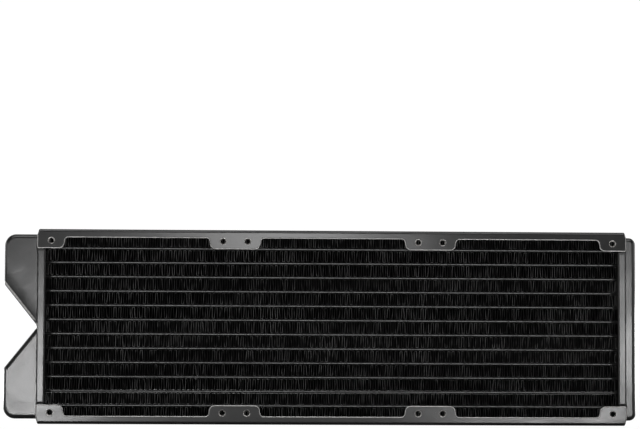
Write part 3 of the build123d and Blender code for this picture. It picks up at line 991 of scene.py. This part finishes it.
def studio_world():
    """White to the camera, and only a faint fill for everything else."""
    world = bpy.data.worlds.new("studio")
    bpy.context.scene.world = world
    world.use_nodes = True
    tree = world.node_tree
    tree.nodes.clear()
    output = tree.nodes.new("ShaderNodeOutputWorld")
    backdrop = tree.nodes.new("ShaderNodeBackground")
    backdrop.inputs["Color"].default_value = (1, 1, 1, 1)
    backdrop.inputs["Strength"].default_value = 1.02
    fill = tree.nodes.new("ShaderNodeBackground")
    fill.name = "fill"
    fill.inputs["Strength"].default_value = 0.03
    mixer = tree.nodes.new("ShaderNodeMixShader")
    path = tree.nodes.new("ShaderNodeLightPath")
    tree.links.new(path.outputs["Is Camera Ray"], mixer.inputs[0])
    tree.links.new(fill.outputs[0], mixer.inputs[1])
    tree.links.new(backdrop.outputs[0], mixer.inputs[2])
    tree.links.new(mixer.outputs[0], output.inputs["Surface"])


floor_z = CAD_LOW.z * 1000
floor = mesh_object(
    "floor",
    [(x * FLOOR_HALF, y * FLOOR_HALF, floor_z) for x, y in ((-1, -1), (1, -1), (1, 1), (-1, 1))],
    [(0, 1, 2, 3)],
    [pale_floor()],
    smooth=False,
)
floor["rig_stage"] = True
studio_world()


# ---------------------------------------------------------------------------------------
# lights (metres). The sprayed parts are never quite parallel, so each group of parts has
# its own lights, which stand for the way that part is tilted.
# ---------------------------------------------------------------------------------------
GROUPS = ("rail_top", "rail_bottom", "port_end", "return_end", "tubes", "core")
PORT_END = ("port_tank", "port_tank_divider", "header_tray_port_side")
RETURN_END = ("return_tank", "header_tray_return_side")


def group_of(name):
    if name in ("rail_top", "rail_bottom"):
        return name
    if name in PORT_END or "boss" in name:
        return "port_end"
    if name in RETURN_END:
        return "return_end"
    return "tubes" if name.startswith("flat_tube") else "core"


receivers = {key: bpy.data.collections.new("lit_" + key) for key in GROUPS}
for body in bpy.data.objects:
    if body.type == "MESH" and "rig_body" in body:
        receivers[group_of(body.name)].objects.link(body)
for union, keys in (
    ("both_ends", ("port_end", "return_end")),
    ("outside", ("port_end", "return_end", "rail_top", "rail_bottom")),
):
    receivers[union] = bpy.data.collections.new("lit_" + union)
    for key in keys:
        for body in receivers[key].objects:
            receivers[union].objects.link(body)


def area(name, lit, place, aim, width, height, radiance):
    """A rectangular light, unseen by the camera; lit names its receivers, None is all."""
    light = bpy.data.lights.new(name, "AREA")
    light.shape = "RECTANGLE"
    light.size, light.size_y = width, height
    light.energy = radiance * 4 * width * height
    lamp = bpy.data.objects.new(name, light)
    lamp.location = place
    lamp.rotation_mode = "QUATERNION"
    lamp.rotation_quaternion = (Vector(aim) - Vector(place)).to_track_quat("-Z", "Y")
    lamp.visible_camera = False
    bpy.context.scene.collection.objects.link(lamp)
    if lit:
        lamp.light_linking.receiver_collection = receivers[lit]


# name, receivers, place, aim, width, height, radiance
LIGHTS = (
    ("overhead", None, (0.0, 0.25, 1.6), (0, 0, 0), 1.6, 1.2, 0.5),
    ("ring_up", "outside", (0.0, -0.75, 1.00), (0, 0, 0), 1.5, 0.45, 1.7),
    ("ring_left", "both_ends", (-1.10, -0.75, 0.22), (0, 0, 0), 0.45, 0.50, 0.7),
    ("ring_right", "both_ends", (1.10, -0.75, 0.22), (0, 0, 0), 0.45, 0.50, 0.7),
    ("ring_down", None, (0.0, -0.26, -0.0585), (0, -0.26, 1), 0.9, 0.36, 0.3),
    ("rear_left", None, (-1.2, 1.4, 0.6), (0, 0, 0), 0.9, 0.7, 1.1),
    ("rear_right", None, (1.4, 1.1, 0.7), (0, 0, 0), 0.7, 0.9, 1.1),
    ("rear_low_left", None, (-0.95, 1.05, 0.0), (0, 0, 0), 0.8, 0.105, 9.0),
    ("side_left", "both_ends", (-1.7, 0.15, 0.36), (0, 0, 0), 0.7, 0.5, 1.6),
    ("side_right", "both_ends", (1.7, 0.15, 0.36), (0, 0, 0), 0.7, 0.5, 1.6),
    ("rear_low_right", None, (0.95, 1.05, 0.0), (0, 0, 0), 0.8, 0.105, 9.0),
    ("ring_up_tubes", "tubes", (0.0, -0.75, 1.00), (0, 0, 0), 1.5, 0.45, 0.15),
    ("ring_up_core", "core", (0.0, -0.75, 1.00), (0, 0, 0), 1.5, 0.45, 0.8),
)
# strips for the rails: receivers, place, aim, width, height, radiance
RAIL_STRIPS = (
    ("rail_top", (0.0, -0.040, -0.0585), (0.0, -0.012, 0.054), 0.9, 0.055, 3.2),
    ("rail_bottom", (0.0, -0.040, 0.062), (0.0, -0.01, -0.054), 0.9, 0.055, 1.8),
    ("rail_top", (-0.60, -0.40, 0.06), (0, 0, 0.05), 0.30, 0.12, 3.0),
    ("rail_bottom", (-0.60, -0.40, 0.0), (0, 0, -0.05), 0.30, 0.10, 3.0),
    ("rail_top", (0.60, -0.40, 0.06), (0, 0, 0.05), 0.30, 0.12, 2.5),
    ("rail_bottom", (0.60, -0.40, 0.0), (0, 0, -0.05), 0.30, 0.10, 3.0),
)
# a run of cards far out to the left, for the flank of the port end's lower wing
FLANK_RADIANCES = (10.0, 16.0, 20.0)
FLANK_X, FLANK_STEP = -0.62, -0.36

# Runs of small soft cards behind the camera, side by side from left to right.
CARD_X, CARD_Y, CARD_WIDTH = -0.40, -1.70, 0.09
# row, centre z, height
CARD_ROWS = (("base", -0.042, 0.03), ("drop", -0.012, 0.09), ("low", 0.0, 0.11), ("high", 0.15, 0.19))
# radiance of each card; 0 leaves the card out
CARDS = {
    "rail_top": {
        "high": [0.3, 0.3, 0.25, 1.3, 5.78, 6.5, 2.6, 0, 0, 0.2, 0.3],
    },
    "rail_bottom": {
        "low": [0, 19.0, 0, 0, 0, 0, 0, 0, 15.05, 20.0, 0],
        "base": [0, 42.0, 2.0, 0, 0, 0, 0, 0, 0, 0, 0],
    },
    "port_end": {
        "base": [0, 32.0, 7.0, 0, 0, 0, 0, 0, 0, 0, 0],
        "drop": [0, 2.0, 28.0, 0, 0, 0, 0, 0, 0, 0, 0],
        "high": [0, 0, 1.5, 0, 0, 0, 0, 0, 0, 0, 0],
    },
    "return_end": {
        "low": [0, 0, 0, 0, 0, 0, 0, 0, 0, 2.4, 24.0],
        "high": [0, 0, 0, 0, 0, 0, 0, 0, 0, 0.4, 3.2],
    },
    "tubes": {"low": [5.0] * 11, "high": [5.0] * 11},
    "core": {"low": [2.4] * 11, "high": [2.4] * 11},
}

for light in LIGHTS:
    area(*light)
for lit, place, *rest in RAIL_STRIPS:
    area(f"edge_{lit}_{place[0]:+.1f}", lit, place, *rest)
for k, radiance in enumerate(FLANK_RADIANCES):
    area(
        f"flank_{k}", "port_end", place=(FLANK_X + FLANK_STEP * k, -1.66, -0.012),
        aim=(-0.2, 0, -0.03), width=0.34, height=0.08, radiance=radiance,
    )
for key, rows in CARDS.items():
    for row, z, height in CARD_ROWS:
        for k, radiance in enumerate(rows.get(row, ())):
            if radiance > 0:
                x = CARD_X + CARD_WIDTH * k
                area(
                    f"{key}_{row}_{k:02d}", key, place=(x, CARD_Y, z), aim=(x, 0, z),
                    width=CARD_WIDTH, height=height, radiance=radiance,
                )

# ---------------------------------------------------------------------------------------
# camera (metres and radians)
# ---------------------------------------------------------------------------------------
CAMERA_PLACE = (-0.0806, -1.65, -0.04016)
YAW, PITCH, ROLL = -0.04388, 0.06624, 0.00387
SENSOR_WIDTH = 36.0          # mm
FOCAL_LENGTH = 151.54351875  # mm

camera_data = bpy.data.cameras.new("camera")
camera = bpy.data.objects.new("camera", camera_data)
bpy.context.scene.collection.objects.link(camera)
camera_data.sensor_width = SENSOR_WIDTH
camera_data.lens = FOCAL_LENGTH
camera_data.clip_start, camera_data.clip_end = 0.01, 50
forward = Vector((
    -math.sin(YAW) * math.cos(PITCH),
    math.cos(YAW) * math.cos(PITCH),
    math.sin(PITCH),
))
level_right = Vector((math.cos(YAW), math.sin(YAW), 0))
level_up = level_right.cross(forward)
right = level_right * math.cos(ROLL) + level_up * math.sin(ROLL)
up = level_up * math.cos(ROLL) - level_right * math.sin(ROLL)
axes = zip(right, up, -forward, CAMERA_PLACE)
camera.matrix_world = Matrix((*axes, (0, 0, 0, 1)))
bpy.context.scene.camera = camera
bpy.context.scene.view_settings.view_transform = "Standard"

low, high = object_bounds()
